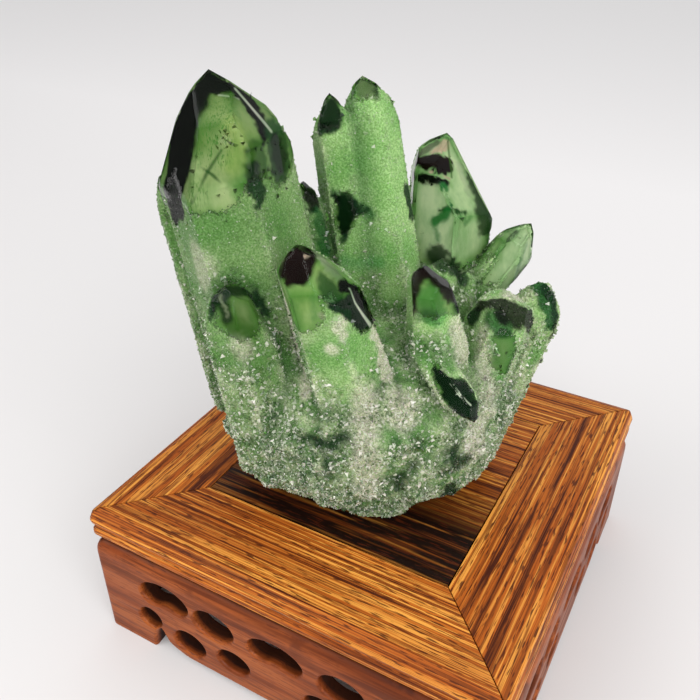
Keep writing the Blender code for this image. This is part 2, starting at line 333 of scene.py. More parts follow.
# The lower edge's outline, from the right foot to the middle, and its middle and half size
SWEEP = [(0.0424, -0.003), (0.0421, 0.0030), (0.0417, 0.0052), (0.0408, 0.0074), (0.0396, 0.0091),
         (0.0384, 0.0094), (0.0374, 0.0084), (0.0366, 0.0066), (0.0358, 0.0050), (0.0344, 0.0041),
         (0.0326, 0.0034), (0.0305, 0.0027), (0.0290, 0.0025)]
SWEEP_MIDDLE = (0, -0.003)
SWEEP_HALF_SIZE = (0.0424, 0.0124)


def apron_blank():
    """The square of four aprons before it is pierced: straight outside, round in the shoulder."""
    bpy.ops.object.select_all(action="DESELECT")
    bpy.ops.mesh.primitive_cube_add(size=1, location=(0, 0, APRON_TOP / 2),
                                    scale=(2 * OUTER, 2 * OUTER, APRON_TOP))
    blank = bpy.context.object
    bpy.ops.object.transform_apply(location=True, rotation=True, scale=True)
    inset = 0.0
    height = APRON_TOP - SHOULDER_DROP
    steps = [(SHOULDER_INSET * (1 - math.cos(turn)), APRON_TOP - SHOULDER_DROP * (1 - math.sin(turn)))
             for turn in (math.pi / 2 * step / 6 for step in range(1, 7))]
    steps += [(APRON_THICKNESS, APRON_TOP), (APRON_THICKNESS, 0.0004)]
    with editing(blank):
        choose(blank, "FACE", lambda face: abs(face.normal.z) > 0.9)
        bpy.ops.mesh.delete(type="ONLY_FACE")
        choose(blank, "EDGE", lambda edge: abs(edge.verts[0].co.z - edge.verts[1].co.z) > 0.01)
        bpy.ops.mesh.bevel(offset=CORNER_RADIUS, segments=5)
        choose(blank, "VERT", lambda vert: vert.co.z > 0.01)
        bpy.ops.transform.translate(value=(0, 0, -SHOULDER_DROP))
        choose(blank, "EDGE", lambda edge: all(vert.co.z > 0.01 for vert in edge.verts))
        for next_inset, next_height in steps:
            bpy.ops.mesh.extrude_edges_move(
                TRANSFORM_OT_translate={"value": (0, 0, next_height - height)})
            grown = (OUTER - next_inset) / (OUTER - inset)
            bpy.ops.transform.resize(value=(grown, grown, 1), center_override=(0, 0, 0))
            inset = next_inset
            height = next_height
        choose(blank, "EDGE", lambda edge: len(edge.link_faces) == 1)
        bpy.ops.mesh.bridge_edge_loops()
        bpy.ops.mesh.select_all(action="SELECT")
        bpy.ops.mesh.normals_make_consistent(inside=False)
    return blank


def front_quarter(piece):
    """Saw a square ring of moulding down to its front member, mitred at both ends."""
    for side in (-1, 1):
        outward = Vector((side, 1, 0)).normalized()
        with editing(piece):
            bpy.ops.mesh.bisect(plane_co=-outward * HALF_JOINT, plane_no=outward, clear_outer=True,
                                clear_inner=False, use_fill=True)


def oval(centre, half_width, half_height, tilt, lift):
    """The outline of an opening; a lift raises the middle of its lower edge, as in a cloud scroll."""
    outline = []
    for step in range(40):
        turn = 2 * math.pi * step / 40
        across = half_width * math.cos(turn)
        up = half_height * math.sin(turn)
        if up < 0:
            up += lift * math.exp(-(across / (0.45 * half_width)) ** 2)
        outline.append((centre[0] + across * math.cos(tilt) - up * math.sin(tilt),
                        centre[1] + across * math.sin(tilt) + up * math.cos(tilt)))
    return outline


def pierce(board, outline, centre, half_width, half_height):
    """Cut an opening with a rounded rim through the front board."""
    bpy.ops.object.select_all(action="DESELECT")
    bpy.ops.mesh.primitive_circle_add(vertices=len(outline), radius=1, fill_type="NGON", location=(0, 0, 0))
    cutter = bpy.context.object
    depth = -OUTER - OVERSHOOT
    for vert, (x, z) in zip(cutter.data.vertices, outline):
        vert.co = (x, depth, z)

    def widen(before, after):
        """Grow the selected outline from one width of rim to another."""
        bpy.ops.transform.resize(value=((half_width + after) / (half_width + before), 1,
                                        (half_height + after) / (half_height + before)),
                                 center_override=(centre[0], 0, centre[1]))

    steps = [(RIM * (1 - math.sin(turn)), -OUTER + RIM * (1 - math.cos(turn)))
             for turn in (math.pi / 2 * step / RIM_STEPS for step in range(RIM_STEPS + 1))]
    steps.append((0.0, -OUTER + APRON_THICKNESS + OVERSHOOT))
    with editing(cutter):
        widen(0, RIM)
        rim = RIM
        for next_rim, next_depth in steps:
            bpy.ops.mesh.extrude_region_move(TRANSFORM_OT_translate={"value": (0, next_depth - depth, 0)})
            widen(rim, next_rim)
            rim = next_rim
            depth = next_depth
        bpy.ops.mesh.select_all(action="SELECT")
        bpy.ops.mesh.normals_make_consistent(inside=False)
    worked(board, "Saw", "BOOLEAN", operation="DIFFERENCE", solver="EXACT", object=cutter)
    bpy.data.objects.remove(cutter)


board = apron_blank()
front_quarter(board)
for (x, z), half_width, half_height, tilt, lift in OPENINGS:
    for side in ((-1, 1) if x else (1,)):
        centre = (side * x, z)
        outline = oval(centre, half_width, half_height, side * tilt, lift)
        pierce(board, outline, centre, half_width, half_height)
pierce(board, SWEEP + [(-x, z) for x, z in reversed(SWEEP)], SWEEP_MIDDLE, *SWEEP_HALF_SIZE)
with editing(board):
    bpy.ops.mesh.remove_doubles(threshold=BOARD_WELD)
    bpy.ops.mesh.quads_convert_to_tris()

APRON_WOOD = ((0.34, 0.088, 0.019), (0.28, 0.066, 0.014), (0.12, 0.025, 0.006))
apron_woods = {
    "X": striped_wood("carved_wood_across", "X", 0.0045, APRON_WOOD, shaded_and_blotched=True),
    "Y": striped_wood("carved_wood_deep", "Y", 0.0045, APRON_WOOD, shaded_and_blotched=True),
}
for quarter, side in enumerate(("front", "right", "back", "left")):
    apron = own_copy(board, "pierced_apron_" + side)
    apron.data.transform(Matrix.Rotation(quarter * math.pi / 2, 4, "Z"))
    smooth_mouldings(apron, 40)
    finished(apron, apron_woods["XY"[quarter % 2]], "apron_" + side)
bpy.data.objects.remove(board)


# Quartz body: one grown mass of six-sided crystals.  The points are clear glassy quartz; below them
# the faces are frosted and pale green, whiter towards the foot and darker in the valleys.

MM = 0.001
PANEL_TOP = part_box("stand_panel")[1].z
to_world = Matrix.Translation((0, 0, PANEL_TOP)) @ Matrix.Rotation(math.radians(29.2), 4, "Z")
to_home = np.array(to_world.inverted())
# Where no druse grows: chains of balls (x, y, z, radius) in millimetres, along the cluster's own axes
BACK_POINT = [(17.5, 25, 88, 9), (17.5, 19, 78, 13), (17, 15, 66, 12)]
RIGHT_POINT = [(37, 10, 69, 5.5), (33, 8, 61, 7), (29, 7, 55, 5)]
CLEAR = [
    [(-41.5, -7, 111, 11), (-39, -12, 102, 16), (-40.5, -17, 92.5, 9.5)],
    [(-48, -8, 97, 7), (-52, -6, 86, 5), (-54.5, 0, 75, 2)],
    [(-27.5, -11, 98, 6.5), (-25.5, -9.8, 92.5, 5.6)],
    [(-32, -2, 104, 8), (-36, 4, 96, 9)],
    [(-14.9, 4.9, 103, 3.2), (-14.5, 2.4, 98.6, 2.8)],
    [(-6.9, 8.3, 105, 4.4)],
    [(-11.5, 0.8, 78.5, 2.6), (-11.2, 0.8, 73, 2.4)],
    [(-19.8, 3, 81, 3.4)],
    BACK_POINT,
    RIGHT_POINT,
    [(-19.5, -26, 80, 5), (-20.4, -29, 74, 7.5), (-20.2, -31, 65, 4.5)],
    [(-14.1, -27.2, 74.3, 6), (-9.8, -28, 69.8, 4.2), (-6.0, -25.5, 61, 2.6)],
    [(-36.5, -24.5, 69, 4.8), (-34.4, -27, 62.5, 5.8)],
    [(10, -20, 72, 5), (8, -25, 66.5, 5.4), (13.5, -19.5, 64, 4.5)],
    [(10.2, -28.2, 48, 1.8), (14.2, -31.8, 44.4, 3.6), (18.6, -33.3, 39.4, 2.8)],
    [(-54.5, 6.8, 83, 3.6)],
    [(27.5, -16, 50, 2.4), (28, -15.9, 44.3, 3.2), (28.4, -15.5, 40.5, 2.0)],
    [(-34, 26, 72, 6), (-32.5, 24, 65, 7)],
    [(-8, 32, 66, 5), (-7.5, 29, 60, 6.5)],
    [(28, 30, 50, 5), (26, 28, 46, 5.5)],
]

BLACK = (0.004, 0.006, 0.004)
BLACK_GREEN = (0.006, 0.026, 0.009)
DARK_EMERALD = (0.010, 0.080, 0.016)
EMERALD = (0.035, 0.24, 0.060)
LEAF = (0.11, 0.33, 0.075)
GREEN_VEIL = (0.25, 0.55, 0.16)
OLIVE_DARK = (0.06, 0.17, 0.022)
OLIVE_LIGHT = (0.55, 0.66, 0.24)
OLIVE_PALE = (0.64, 0.76, 0.42)
PALE_GREEN = (0.72, 0.82, 0.60)
SMOKE = (0.17, 0.20, 0.13)
GREY_GREEN = (0.40, 0.46, 0.33)
RED_BLACK = (0.012, 0.005, 0.005)
ROSE_HIGHLIGHT = (0.80, 0.60, 0.50)
CRUST_WHITE = (0.56, 0.57, 0.42)
GLINT = (0.92, 0.95, 0.88)
# What shows in and on the stone: colour, strength, softness in millimetres, and a chain of balls
# The black and dark green bands on the clear points are painted dark reflections from inside the quartz
MARKS = [
    # Big crystal, front left: an olive face, a black cap and left facet, two green pools
    (OLIVE_LIGHT, 0.7, 2, [(-33.8, -16.4, 102.1, 2), (-33.1, -17.6, 98.3, 2.2), (-34.5, -18.8, 94.4, 1.7)]),
    (OLIVE_PALE, 0.7, 1.6, [(-41.7, -20.5, 87.4, 2.4), (-36.9, -20.2, 88.4, 2.8), (-33.9, -20, 84, 1.8)]),
    (OLIVE_PALE, 0.5, 1.2, [(-42.7, -18.8, 94.4, 1.1), (-42.2, -19.7, 91.5, 1.3)]),
    (GREEN_VEIL, 0.6, 1, [(-34, -20.1, 88.1, 0.8), (-31.3, -19.9, 84.9, 1.1)]),
    (BLACK, 1, 0.5, [(-39.4, -9.5, 109.3, 2.8), (-36.5, -10.3, 108.8, 2.1), (-33.8, -10, 107.9, 1.3)]),
    (BLACK, 1, 0.5, [(-40.9, -10.4, 108.2, 2.2), (-42.5, -11.7, 105.6, 3.4), (-44.7, -11.2, 101.5, 5.5),
        (-46, -11.6, 97.6, 6.3), (-47.1, -12.3, 93.5, 6.2), (-48.4, -12.7, 89.2, 5.2),
        (-49.5, -12.4, 84.5, 5.2), (-51.2, -9, 78.5, 2.2)]),
    (BLACK, 1, 0.5, [(-34.4, -10.4, 108.2, 1.3), (-32.3, -9.3, 106.5, 1.4), (-30.7, -9.5, 104.3, 2.1),
        (-29.2, -10, 102, 1.9), (-28.3, -11.1, 100.1, 1.8), (-27.9, -13.5, 97.8, 0.8)]),
    (DARK_EMERALD, 0.9, 0.7, [(-26.6, -8.5, 100, 1.7), (-25.7, -9.2, 97.7, 3.4), (-25.3, -9.4, 94.8, 4.1),
        (-25, -9.7, 92.1, 4), (-24.9, -10.1, 90, 2.8)]),
    (BLACK_GREEN, 0.9, 0.6, [(-25.7, -9.7, 96.5, 2), (-25.1, -9.5, 93.5, 3), (-25, -9.8, 91.3, 2.2)]),
    (OLIVE_DARK, 0.9, 0.6, [(-29.5, -16.4, 96.3, 3), (-29.2, -16.8, 93.3, 3.5)]),
    (BLACK_GREEN, 0.95, 0.6, [(-30, -18.3, 93, 2), (-29.6, -18.5, 90.2, 2.4), (-29.2, -18.4, 87.9, 2.5),
        (-29.2, -19.2, 85.8, 1.2)]),
    (BLACK_GREEN, 0.9, 0.3, [(-31.7, -17.9, 97.1, 0.25), (-30, -17.7, 97.3, 0.3), (-29, -15.7, 97.3, 0.25)]),
    (BLACK, 0.9, 2, [(-40, 6, 102, 5), (-44, 8, 90, 4)]),
    (CRUST_WHITE, 0.5, 1.5, [(-43.9, -17.2, 71.3, 5), (-45, -14.4, 64.6, 2.5)]),
    # Middle crystal: two small clear tips, a dark window half way down, a dark right edge
    (BLACK_GREEN, 0.97, 0.4, [(-14.2, 4.6, 101.4, 1.3), (-14.3, 3.8, 100, 2.1), (-14.5, 3.3, 98.9, 3),
        (-14.8, 2.6, 97.7, 3.2), (-16.7, 2.3, 96, 1.6)]),
    (SMOKE, 0.6, 0.6, [(-14.5, 5.6, 102.8, 0.5), (-11.3, 10.4, 100.2, 1)]),
    (SMOKE, 0.7, 0.8, [(-7.3, 9.2, 105.3, 2.2), (-6.2, 7.5, 103.7, 2.4)]),
    (BLACK_GREEN, 0.75, 0.5, [(-4.1, 7.1, 103.8, 0.6), (-3.2, 5.4, 102.2, 0.7)]),
    (BLACK_GREEN, 0.6, 0.5, [(-9.9, 8.1, 101.5, 0.5), (-8.9, 8, 103.6, 0.45)]),
    (DARK_EMERALD, 0.8, 1, [(-13.7, 0.9, 81, 1), (-9.4, 0.6, 79.1, 1.2), (-4.5, 1.6, 74.5, 0.8)]),
    (BLACK_GREEN, 1, 0.6, [(-14.1, 1, 79.9, 0.7), (-11.7, 0.8, 78.6, 1.9), (-10.4, 0.7, 76.7, 2.7),
        (-11.1, 0.8, 74.1, 2.1), (-11.2, 0.8, 71.1, 1.4), (-11.5, 0.8, 68.2, 0.8)]),
    (BLACK_GREEN, 0.95, 0.5, [(-10.5, 0.7, 76.5, 1.4), (-7.7, 0.4, 76.2, 1.4), (-5.8, 1.8, 75.8, 0.6)]),
    (EMERALD, 0.45, 1.6, [(-11.1, 0.9, 62.4, 1.8), (-2.3, 0.6, 62, 1.3)]),
    (BLACK_GREEN, 0.95, 0.4, [(3.9, 6.6, 80.1, 1), (5.3, 7, 76.6, 1.5), (6, 6.8, 73.5, 1.4),
        (6.3, 6.4, 71.4, 0.5)]),
    # Small crystals between those two
    (BLACK, 0.97, 0.5, [(-20.9, 3.8, 82.3, 1.3), (-19.3, 2.4, 80.6, 2.3), (-18.7, 1.3, 78.7, 2.6),
        (-18.3, 0.1, 76.7, 1.1)]),
    (DARK_EMERALD, 0.85, 0.9, [(-17.6, 0.2, 75.8, 1.4), (-16.1, 1.2, 69.7, 2.1), (-15.8, 1.3, 65.3, 2.1)]),
    # Clear crystal, back right: a painted rose highlight and a painted brown reflection on its tip, a black
    # ribbon, green wisps
    (PALE_GREEN, 0.6, 2, [(11, 14.6, 75, 4), (13, 12.8, 69, 5), (15, 11.5, 63, 5)]),
    (PALE_GREEN, 0.7, 2, [(36, 9, 68, 3.5), (33, 6, 61.5, 4.5), (30, 5, 56, 4)]),
    (GREY_GREEN, 0.5, 1, [(19.4, 20.5, 80.9, 1.6), (22.6, 17.6, 75.1, 1.9)]),
    (SMOKE, 0.9, 0.4, [(6.1, 22.2, 81.2, 1.2), (9.3, 22, 84.6, 1.2), (12.8, 23.1, 86.4, 1)]),
    (RED_BLACK, 1, 0.35, [(7.5, 20.2, 82, 1.5), (10.5, 18.3, 82.8, 2.2), (13.2, 17.6, 82.5, 2.6),
        (15.4, 18, 81.8, 2.3)]),
    (ROSE_HIGHLIGHT, 0.95, 0.35, [(15.2, 22.3, 86.1, 1.6), (13.4, 21, 85.5, 1.4), (11.2, 20.8, 84.6, 0.5)]),
    (BLACK, 1, 0.35, [(6.4, 21.5, 77.4, 1.5), (9.2, 16, 79, 1.4), (12.4, 14.2, 78.8, 1.3),
        (15.5, 15.1, 78.1, 0.7)]),
    (BLACK_GREEN, 0.85, 0.6, [(21.4, 20.2, 78.9, 0.8), (23.2, 18.6, 75.7, 1.4), (25, 17.5, 73.1, 2.4),
        (26, 16, 70.8, 3.2), (26.4, 14.9, 68.7, 3.2), (26.4, 14.5, 65.6, 2.2)]),
    (EMERALD, 0.95, 0.4, [(13.4, 13.4, 77.8, 0.8), (15, 14, 77.3, 1.1)]),
    (DARK_EMERALD, 0.97, 0.35, [(12.9, 12.5, 71.4, 0.4), (15.6, 11.2, 72.4, 0.8), (18.5, 11.5, 71.8, 0.8),
        (20.4, 12.4, 71.2, 0.5)]),
    (EMERALD, 0.95, 0.5, [(15.8, 11.3, 73.5, 0.8), (14.4, 11.5, 70.4, 1.3), (12, 12.4, 68.4, 1.2)]),
    (EMERALD, 0.7, 0.6, [(12.1, 12, 66.8, 0.7), (13, 11, 63.9, 0.8)]),
    (EMERALD, 0.6, 0.4, [(19, 10.9, 70.7, 0.4), (20.8, 11.4, 68.2, 0.5), (21.9, 12.3, 69.5, 0.4)]),
    (BLACK_GREEN, 0.8, 0.3, [(29.8, 6, 65.9, 0.5), (32.8, 8.4, 68.1, 0.5)]),
    (EMERALD, 0.6, 0.4, [(35.7, 7, 66.8, 0.5), (34.5, 4.7, 60.6, 0.6), (33.7, 6.5, 54.4, 0.5)]),
    # Front crystal: a grey facet, an emerald smear, a red-black tip with a painted rose highlight, a black
    # right facet
    (GREY_GREEN, 0.85, 0.8, [(-16.9, -24.2, 77, 1.6), (-14.6, -25.7, 75.4, 1.9), (-12.4, -26.6, 73.5, 1.6)]),
    (DARK_EMERALD, 0.85, 0.9, [(-15.6, -28.9, 73.6, 1.3), (-14.5, -29.9, 71.8, 2.3),
        (-13.8, -30.7, 70.2, 2.6), (-12.4, -30.8, 68.8, 2.3)]),
    (EMERALD, 0.5, 1, [(-17.7, -32.2, 69.7, 0.5), (-17.6, -31.7, 65, 0.8)]),
    (RED_BLACK, 1, 0.5, [(-20, -25, 80, 3.6), (-20.9, -27.5, 76.9, 4), (-21, -29.1, 75.2, 3.4),
        (-22.6, -29.7, 73.6, 1.6)]),
    (RED_BLACK, 1, 0.5, [(-22.6, -25.5, 78.2, 3), (-23.8, -27.4, 75.2, 2.6)]),
    (ROSE_HIGHLIGHT, 0.8, 0.25, [(-19.5, -28.1, 77.7, 0.35), (-18.5, -27.3, 77.8, 0.4)]),
    (BLACK_GREEN, 1, 0.5, [(-13.8, -32.6, 68.1, 0.9), (-11.5, -30.5, 67.2, 1.5), (-9.6, -28.7, 66, 2.9),
        (-8.2, -27.6, 64, 3.2), (-6.7, -26.7, 60.9, 2.3), (-5.6, -25.7, 59.6, 1.3)]),
    (BLACK, 1, 0.35, [(-10.9, -27.7, 71, 1.6), (-9, -27.2, 69.5, 1.2), (-7.4, -26, 66.8, 1.4),
        (-5.6, -24.6, 63.1, 1.3), (-4.4, -24, 59.9, 0.9)]),
    (CRUST_WHITE, 0.9, 0.7, [(-25.1, -25.9, 70.7, 1.1), (-25, -24.6, 65.3, 1.6), (-24, -23.6, 58.8, 1.7),
        (-23.4, -22, 51.9, 1.7), (-22.5, -21.5, 45.4, 1.8), (-20.6, -24, 39.4, 1.4)]),
    (CRUST_WHITE, 0.85, 0.7, [(-4.2, -24.6, 57.6, 1.2), (-3, -22.9, 52.4, 1.8), (-1.9, -23.2, 48.9, 2.4),
        (-0.8, -23.7, 45.4, 2.3)]),
    (CRUST_WHITE, 0.75, 1, [(-12, -31.5, 62.7, 2.2), (-11.2, -31.5, 60.6, 1.6)]),
    (CRUST_WHITE, 0.75, 0.9, [(-14.1, -31.3, 56.3, 1.7)]),
    (CRUST_WHITE, 0.8, 0.5, [(-16.2, -32, 65.4, 0.9)]),
    # Left front crystal: a smoky arch over an olive face
    (OLIVE_DARK, 0.5, 1.5, [(-32.8, -24.2, 65.3, 4.6), (-32.8, -25.6, 61.9, 5)]),
    (OLIVE_DARK, 0.75, 1.2, [(-36.2, -28.1, 61.5, 2.1), (-34.2, -28.3, 58.4, 3.6),
        (-33.5, -28.6, 55.8, 3.4)]),
    (BLACK_GREEN, 0.95, 0.5, [(-41.2, -26.3, 62.1, 0.9), (-40.3, -25.9, 65.1, 1.1), (-39, -25.3, 66.9, 1.4),
        (-37.6, -24.4, 67.5, 2), (-35.1, -23.6, 67.7, 1.8), (-32.7, -21.8, 66.2, 1.7),
        (-31.1, -20, 63.4, 1.1), (-30, -19.4, 60.8, 0.9), (-28.8, -19.3, 58.2, 0.7)]),
    (BLACK_GREEN, 0.9, 0.6, [(-38.1, -25.8, 66.7, 1.3), (-37.8, -27, 64.8, 1.6), (-37.3, -27.6, 62.7, 1.4)]),
    (CRUST_WHITE, 0.6, 0.3, [(-38.6, -25.5, 67, 0.5), (-37.9, -27, 65.2, 0.4), (-37.2, -27.6, 63, 0.4)]),
    (CRUST_WHITE, 0.6, 1.5, [(-34.7, -29.4, 56.7, 2.3), (-33.5, -29, 54.2, 2.3)]),
    # Right front crystal: a red-black arch over a green face, a dark crusted tip behind it
    (LEAF, 0.9, 1, [(7.9, -25.1, 66.3, 3.4), (9.3, -25.5, 62, 3.6)]),
    (DARK_EMERALD, 0.6, 0.9, [(5.7, -24, 60.8, 1.6), (8.6, -25.3, 61.4, 1.8)]),
    (RED_BLACK, 0.97, 0.5, [(4.3, -23.1, 61.6, 1.3), (4.1, -23.2, 65.9, 1.5), (4.6, -22, 69, 1.6),
        (6.5, -20, 71, 2.2)]),
    (RED_BLACK, 0.98, 0.5, [(7.6, -20.2, 70.8, 2.6), (10.3, -21.2, 68.8, 3), (13.1, -21, 66.1, 3),
        (15.2, -19, 63, 3)]),
    (BLACK_GREEN, 0.97, 0.6, [(15.2, -19.4, 62.4, 2.8), (17.6, -15.8, 58.6, 2.6), (19.8, -11, 55, 2.2),
        (20.1, -10, 52.4, 2.2)]),
    (BLACK_GREEN, 0.9, 0.3, [(8.9, -25.7, 63.8, 0.4)]),
    (BLACK_GREEN, 0.9, 0.8, [(12, 9, 60, 3.2), (14.6, 4.6, 60.2, 3.6), (18.1, 6.2, 56.7, 3.2),
        (19.6, 3.5, 56.3, 2)]),
    (BLACK_GREEN, 0.8, 0.5, [(23.9, 4.1, 54.8, 0.8)]),
    (CRUST_WHITE, 0.75, 1.2, [(14.8, -22.7, 57.6, 2.3), (18.6, -19.8, 48.6, 3.4)]),
    # Low right crystals: a crown of dark sparkling druse over a smooth green face
    (CRUST_WHITE, 0.8, 1.2, [(33.8, -2.4, 55.4, 4), (29.6, -8.6, 59, 2.4)]),
    (LEAF, 0.7, 1, [(27.4, -16, 48.6, 3.6), (27.6, -15.9, 43.9, 3.1), (27.6, -15.8, 38.8, 2.2)]),
    (DARK_EMERALD, 0.85, 0.8, [(24.6, -14.9, 54.7, 2.7), (27.6, -15.6, 52.3, 2.4)]),
    (BLACK, 0.95, 0.6, [(21.3, -10.9, 56, 1.4), (23.3, -12.4, 58.2, 1.7), (26, -12.7, 57.8, 2.5),
        (28.5, -13.4, 56.2, 3.3), (31.2, -13.5, 55.2, 3.2), (34.4, -11.6, 52.6, 3), (36, -9, 49.2, 2)]),
    (CRUST_WHITE, 0.7, 1.5, [(22.3, -14.3, 51.1, 2), (23.3, -15.9, 43.1, 2), (26, -19.3, 31.8, 3.6)]),
    (DARK_EMERALD, 0.95, 0.6, [(35.6, 5.4, 57, 1.4), (38.6, 2.8, 55.9, 2), (39.9, -0.2, 54.3, 2.5),
        (41.3, -1.9, 51.7, 2.6), (42.6, -2.8, 48.9, 2.5), (43, -3, 45, 1.4)]),
    (BLACK_GREEN, 0.9, 0.4, [(40.2, 1.1, 55.3, 1.2), (42.5, -1.6, 52.4, 1.5), (43.7, -2, 48.4, 1.4),
        (43.7, -2.2, 46, 0.8), (43.4, -2, 41.8, 0.6)]),
    # A face broken open low on the right
    (BLACK_GREEN, 1, 0.3, [(9.9, -27.1, 48.3, 1), (11.4, -28.8, 46.8, 1.8), (13.6, -30.5, 45.2, 2.6),
        (15.4, -32.1, 43.5, 3), (17, -32.9, 41, 2.9), (19.3, -32.3, 38.6, 1.9)]),
    (BLACK_GREEN, 0.98, 0.3, [(14.1, -29.6, 46.9, 1.1), (16.4, -30, 45.8, 1.7), (18, -31.2, 44.1, 1.4),
        (19.3, -31.5, 42.6, 1.1)]),
    # Painted shade in the gaps and hollows of the foot, and white patches
    (CRUST_WHITE, 0.8, 2, [(1.7, -27, 40.3, 3.4), (2.8, -28.8, 37.1, 3.7)]),
    (CRUST_WHITE, 0.7, 2, [(-6.3, -29.9, 42.4, 3.4), (-6.3, -31.1, 33.9, 3.4), (-5.6, -32.6, 24.4, 4),
        (-5.5, -32.2, 14.2, 3.2)]),
    (CRUST_WHITE, 0.75, 1.5, [(21.4, -23.7, 27.7, 4.2), (23.1, -22.8, 20.8, 3.4)]),
    (BLACK_GREEN, 0.9, 1.2, [(-21.4, -28.8, 29.6, 1.5), (-18.2, -30.6, 29.4, 1.6), (-14.7, -31.8, 29.1, 1.8),
        (-11.9, -31.3, 31.5, 2)]),
    (BLACK_GREEN, 0.75, 1.2, [(-15.2, -32, 25, 1.6), (-15.6, -33.3, 21.7, 2.2)]),
    (BLACK_GREEN, 0.85, 1.2, [(2.8, -31, 19.1, 2), (2.2, -30.9, 15.5, 2)]),
    (BLACK_GREEN, 0.7, 1, [(5.8, -31, 22.3, 1.8)]),
    (BLACK_GREEN, 0.9, 1.4, [(15.9, -28.1, 24.5, 2.2), (16.3, -29.8, 20.3, 3.2), (20.2, -25, 19.1, 2.2)]),
    (BLACK_GREEN, 0.95, 0.7, [(15.9, -26.5, 11.1, 2.2), (16.6, -25.5, 7.3, 3.2), (15.5, -26, 4, 2.6)]),
    (BLACK_GREEN, 0.5, 1.6, [(-34.9, -24.3, 25.3, 1.8)]),
    (BLACK_GREEN, 0.6, 1.2, [(6.5, -31.4, 28.7, 1.5)]),
    (BLACK_GREEN, 0.6, 1.2, [(1.6, -23.1, 43.4, 1), (2.3, -27.2, 39.9, 1)]),
    # Small crystals at the back, which follow those at the front
    (BLACK, 0.9, 1.5, [(-34, 26, 73, 4), (-32, 27, 68, 3)]),
    (RED_BLACK, 0.9, 1.5, [(-8, 32, 67, 3.6), (-6, 31, 63, 3)]),
    (BLACK_GREEN, 0.9, 1.5, [(28, 31, 51, 3.2), (28, 29, 47, 2.4)]),
    (DARK_EMERALD, 0.8, 1.5, [(20, 34, 80, 3), (18, 30, 70, 2.5)]),
]
# Painted highlights along lit edges, and healed cracks inside the stone, a few tenths of a millimetre wide
LINES = [
    (GLINT, 0.5, 0.15, [(-37.3, -11.7, 107.2, 0.16), (-35, -12, 107, 0.15), (-32.9, -10.8, 106.1, 0.16)]),
    (GLINT, 0.75, 0.25, [(-33.7, -9.7, 107.9, 0.27), (-31, -9.7, 104.6, 0.31), (-28.7, -9.7, 101.6, 0.4),
        (-26.7, -9.8, 99.1, 0.4)]),
    (DARK_EMERALD, 0.75, 0.3, [(-36.7, -17.9, 97.3, 0.2), (-39.8, -19.2, 93.1, 0.4),
        (-43.4, -20.6, 86.5, 0.2)]),
    (DARK_EMERALD, 0.8, 0.25, [(-42.9, -18, 95, 0.15), (-38.8, -19.4, 92.5, 0.35),
        (-31.5, -19.9, 85.4, 0.2)]),
    (ROSE_HIGHLIGHT, 1, 0.2, [(6.5, 25.9, 78.7, 0.33), (10.6, 16, 80.8, 0.4), (16.2, 16.3, 78.9, 0.35)]),
    (OLIVE_DARK, 0.8, 0.3, [(15.9, 23.8, 87.2, 0.27), (16.3, 20.1, 82.9, 0.32), (16.8, 17, 79.1, 0.32)]),
    (GLINT, 1, 0.15, [(-9.8, -27.7, 70.2, 0.17), (-8.5, -27.4, 66.3, 0.2), (-6.7, -26.3, 62.6, 0.33),
        (-4.9, -25, 59, 0.45)]),
    (GLINT, 0.95, 0.15, [(13.1, -30, 46.5, 0.16), (15.5, -32.2, 45, 0.25), (18.2, -32.6, 42.4, 0.2)]),
]


def cover(points, chain, soft):
    """How far each point lies in a chain of balls: 1 in its core, 0 outside, with a soft rim."""
    nearest = np.full(len(points), 1e9)
    chain = np.array(chain, float)
    for start, end in zip(chain[:-1], chain[1:]) if len(chain) > 1 else [(chain[0], chain[0])]:
        axis = end[:3] - start[:3]
        along = np.clip(((points - start[:3]) @ axis) / max(axis @ axis, 1e-9), 0, 1)
        distance = np.linalg.norm(points - start[:3] - along[:, None] * axis, axis=1)
        nearest = np.minimum(nearest, distance - start[3] - along * (end[3] - start[3]))
    inside = np.clip((soft - nearest) / (2 * soft), 0, 1)
    return inside * inside * (3 - 2 * inside)


def ease(values, low, high):
    """0 at low, 1 at high, a straight line between them and level beyond them."""
    return np.clip((values - low) / (high - low), 0, 1)


def laid(colour, tint, amount):
    """Lay a tint over a colour, by an amount a point."""
    amount = np.asarray(amount)[:, None]
    return np.array(colour) * (1 - amount) + np.array(tint) * amount


def ripple(points, size, seed):
    """Smooth seeded waviness between -1 and 1, from sines in many directions."""
    dice = np.random.default_rng(seed)
    total = np.zeros(len(points))
    for _ in range(16):
        direction = dice.normal(size=3)
        direction *= 2 * math.pi / size / np.linalg.norm(direction) * dice.uniform(0.5, 1.7)
        total += np.sin(points @ direction + dice.uniform(0, 6.3))
    return np.clip(total / 4.2, -1, 1)


def at_home(places):
    """Places in millimetres along the cluster's own axes."""
    return (places @ to_home[:3, :3].T + to_home[:3, 3]) / MM


def millimetres(piece):
    """The vertices of a piece along the cluster's own axes."""
    flat = np.empty(len(piece.data.vertices) * 3, np.float32)
    piece.data.vertices.foreach_get("co", flat)
    return at_home(flat.reshape(-1, 3).astype(float))


def clearness(points, swell=0.0, soft=1.6):
    """1 on the glassy faces and 0 on the frosted ones."""
    grown = np.zeros(len(points))
    wavy = points + 0.6 * ripple(points, 6, 3)[:, None] + 0.3 * ripple(points, 2, 33)[:, None]
    for chain in CLEAR:
        chain = [(x, y, z, radius + swell) for x, y, z, radius in chain]
        grown = np.maximum(grown, cover(wavy, chain, soft))
    return grown


